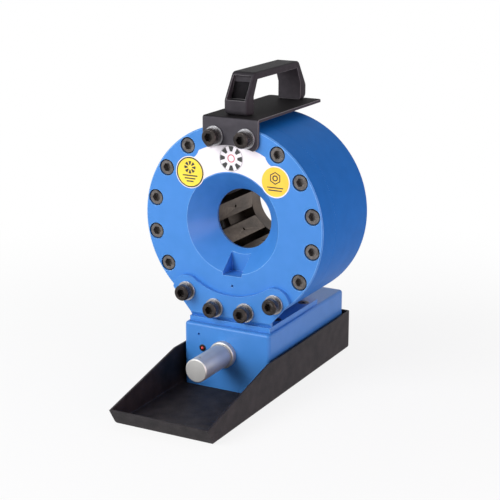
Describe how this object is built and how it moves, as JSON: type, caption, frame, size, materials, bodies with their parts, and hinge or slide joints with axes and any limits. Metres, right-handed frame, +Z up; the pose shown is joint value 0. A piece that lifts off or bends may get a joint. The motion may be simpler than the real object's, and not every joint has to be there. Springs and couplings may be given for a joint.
{
  "type": "hose crimping machine",
  "caption": "Portable hydraulic hose crimper: round head with sliding segment dies, carry handle on top, housing with a setting knob below, standing in a sheet tray.",
  "frame": {"origin": "on the bench under the tray, straight below the front face of the crimping head, on the machine's centre plane", "axes": "+X to the operator's right, +Y away from the operator along the hose axis, +Z up"},
  "size_m": [0.2, 0.3153, 0.3225],
  "materials": {
    "blue_paint": "satin gloss",
    "cylinder_steel": "satin gloss",
    "die_steel": "ground, oiled",
    "bare_steel": "turned",
    "spring_steel": "drawn wire",
    "black_oxide": "black oxide",
    "zinc": "zinc plated",
    "black_sheet": "matt powder coat",
    "tray_sheet": "textured powder coat",
    "handle_plastic": "fine grain",
    "knob_aluminium": "satin",
    "switch_plastic": "moulded",
    "lamp_lens": "clear red",
    "seal_rubber": "moulded"
  },
  "bodies": {
    "frame": {"front_cover": "blue_paint", "head_cylinder": "cylinder_steel", "base_housing": "blue_paint", "rear_sleeve": "die_steel", "front_cone_ring": "die_steel", "cover_screws": "black_oxide", "handle_bracket_screws": "black_oxide", "saddle_screws_front": "black_oxide", "handle_bracket_washers": "zinc", "saddle_washers": "zinc", "saddle_screws_foot": "black_oxide", "tray_screws": "black_oxide", "saddle_bracket": "blue_paint", "base_tray": "tray_sheet", "handle_bracket": "black_sheet", "carry_handle": "handle_plastic", "handle_screws": "black_oxide", "knob_collar": "knob_aluminium", "scale_barrel": "knob_aluminium", "limit_switch": "switch_plastic", "lamp_bezel": "black_oxide", "lamp_lens": "lamp_lens", "hydraulic_coupler": "zinc"},
    "piston": {"cone_piston": "bare_steel", "piston_outer_seal": "seal_rubber", "piston_inner_seal": "seal_rubber"},
    "setting_rod": {"limit_rod": "bare_steel"},
    "knob": {"setting_knob": "knob_aluminium"},
    "die_1": {"master_die_1": "die_steel", "die_spring_1": "spring_steel"},
    "die_2": {"master_die_2": "die_steel", "die_spring_2": "spring_steel"},
    "die_3": {"master_die_3": "die_steel", "die_spring_3": "spring_steel"},
    "die_4": {"master_die_4": "die_steel", "die_spring_4": "spring_steel"},
    "die_5": {"master_die_5": "die_steel", "die_spring_5": "spring_steel"},
    "die_6": {"master_die_6": "die_steel", "die_spring_6": "spring_steel"},
    "die_7": {"master_die_7": "die_steel", "die_spring_7": "spring_steel"},
    "die_8": {"master_die_8": "die_steel", "die_spring_8": "spring_steel"}
  },
  "joints": [
    {"name": "piston_slide", "type": "slide", "parent": "frame", "child": "piston", "axis": [0, -1, 0], "range_m": [0, 0.0112], "stiffness_N_per_m": 2000, "springref_m": -0.02},
    {"name": "die_1_slide", "type": "slide", "parent": "frame", "child": "die_1", "axis": [0, -0.4226, -0.9063], "range_m": [0, 0.0133], "deforming": ["die_spring_1"]},
    {"name": "die_2_slide", "type": "slide", "parent": "frame", "child": "die_2", "axis": [-0.6409, -0.4226, -0.6409], "range_m": [0, 0.0133], "deforming": ["die_spring_2"]},
    {"name": "die_3_slide", "type": "slide", "parent": "frame", "child": "die_3", "axis": [-0.9063, -0.4226, 0], "range_m": [0, 0.0133], "deforming": ["die_spring_3"]},
    {"name": "die_4_slide", "type": "slide", "parent": "frame", "child": "die_4", "axis": [-0.6409, -0.4226, 0.6409], "range_m": [0, 0.0133], "deforming": ["die_spring_4"]},
    {"name": "die_5_slide", "type": "slide", "parent": "frame", "child": "die_5", "axis": [0, -0.4226, 0.9063], "range_m": [0, 0.0133], "deforming": ["die_spring_5"]},
    {"name": "die_6_slide", "type": "slide", "parent": "frame", "child": "die_6", "axis": [0.6409, -0.4226, 0.6409], "range_m": [0, 0.0133], "deforming": ["die_spring_6"]},
    {"name": "die_7_slide", "type": "slide", "parent": "frame", "child": "die_7", "axis": [0.9063, -0.4226, 0], "range_m": [0, 0.0133], "deforming": ["die_spring_7"]},
    {"name": "die_8_slide", "type": "slide", "parent": "frame", "child": "die_8", "axis": [0.6409, -0.4226, -0.6409], "range_m": [0, 0.0133], "deforming": ["die_spring_8"]},
    {"name": "setting_rod_slide", "type": "slide", "parent": "frame", "child": "setting_rod", "axis": [0, -1, 0], "range_m": [0, 0.01]},
    {"name": "setting_knob_turn", "type": "hinge", "parent": "setting_rod", "child": "knob", "pos_m": [-0.003, -0.05, 0.0408], "axis": [0, -1, 0], "range_deg": [0, 3605]}
  ],
  "couplings": [
    {"joint": "die_1_slide", "follows": "piston_slide", "ratio": 1.1831},
    {"joint": "die_2_slide", "follows": "piston_slide", "ratio": 1.1831},
    {"joint": "die_3_slide", "follows": "piston_slide", "ratio": 1.1831},
    {"joint": "die_4_slide", "follows": "piston_slide", "ratio": 1.1831},
    {"joint": "die_5_slide", "follows": "piston_slide", "ratio": 1.1831},
    {"joint": "die_6_slide", "follows": "piston_slide", "ratio": 1.1831},
    {"joint": "die_7_slide", "follows": "piston_slide", "ratio": 1.1831},
    {"joint": "die_8_slide", "follows": "piston_slide", "ratio": 1.1831},
    {"joint": "setting_knob_turn", "follows": "setting_rod_slide", "rad_per_m": 6283.2}
  ]
}
